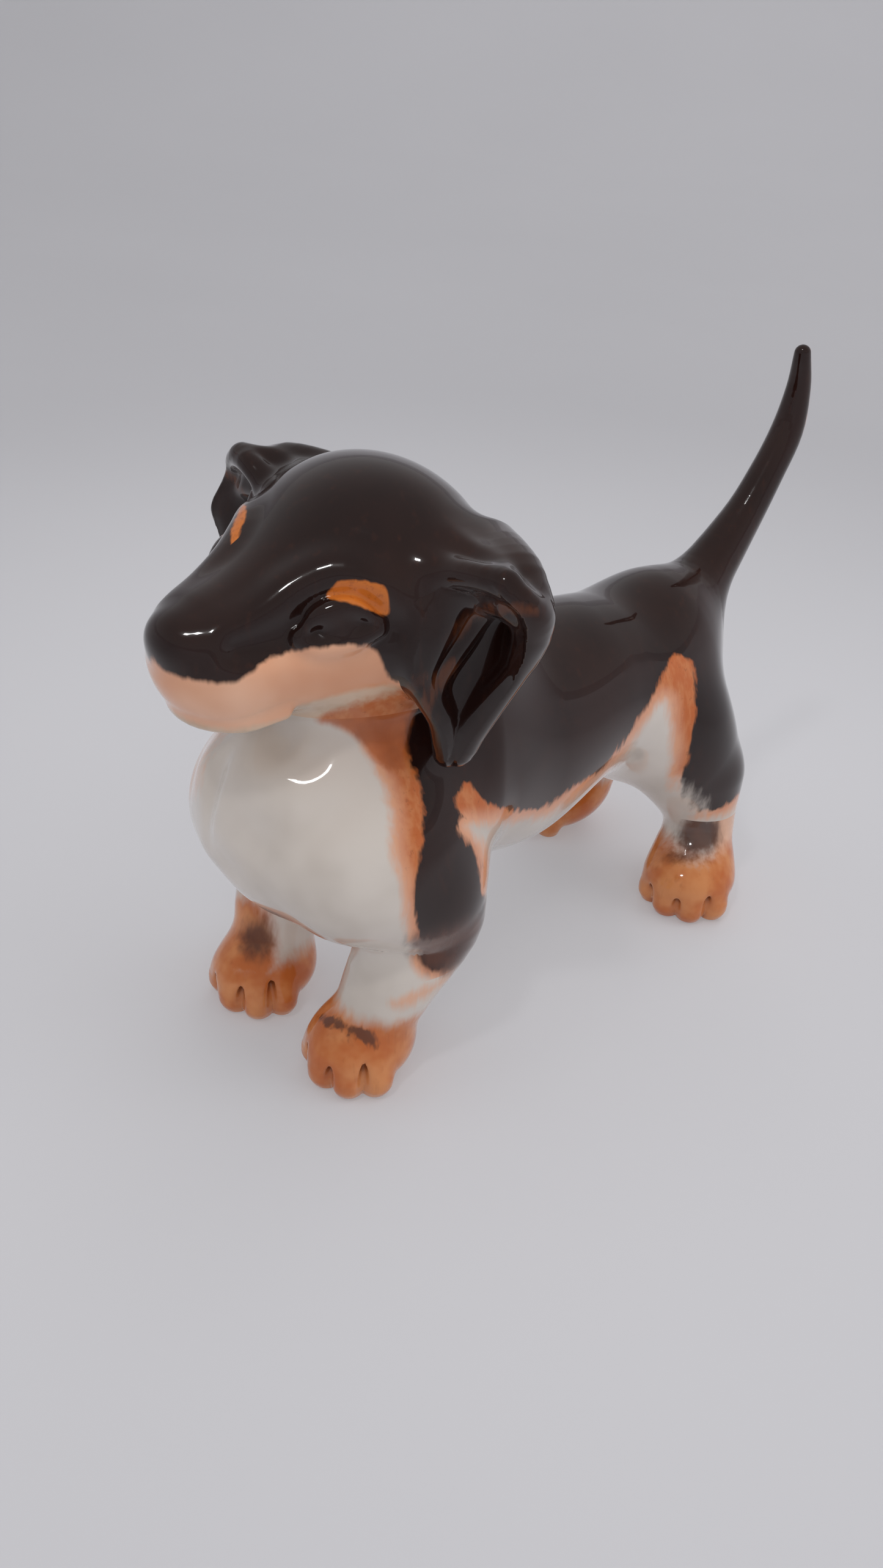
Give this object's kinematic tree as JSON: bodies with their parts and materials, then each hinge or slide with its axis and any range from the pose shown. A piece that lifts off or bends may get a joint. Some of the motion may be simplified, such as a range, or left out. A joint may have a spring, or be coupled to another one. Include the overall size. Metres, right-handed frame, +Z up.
{
  "type": "ceramic dog figurine",
  "caption": "Glossy glazed porcelain figurine of a standing dachshund puppy, long low body, drop ears, raised tapering tail, flat paw soles; a shelf ornament.",
  "frame": {"origin": "on the table plane, at the centre of the bounding-box footprint", "axes": "+Z up; -Y towards the nose; +X the puppy's own left side"},
  "size_m": [0.0528, 0.1105, 0.0784],
  "materials": {
    "dark_glaze": "gloss",
    "tan_glaze": "gloss",
    "white_glaze": "gloss"
  },
  "bodies": {
    "root": {"torso": "dark_glaze", "head": "dark_glaze", "ear_left": "dark_glaze", "ear_right": "dark_glaze", "tail": "dark_glaze", "foreleg_left": "tan_glaze", "foreleg_right": "tan_glaze", "hindleg_left": "tan_glaze", "hindleg_right": "tan_glaze"}
  },
  "joints": []
}
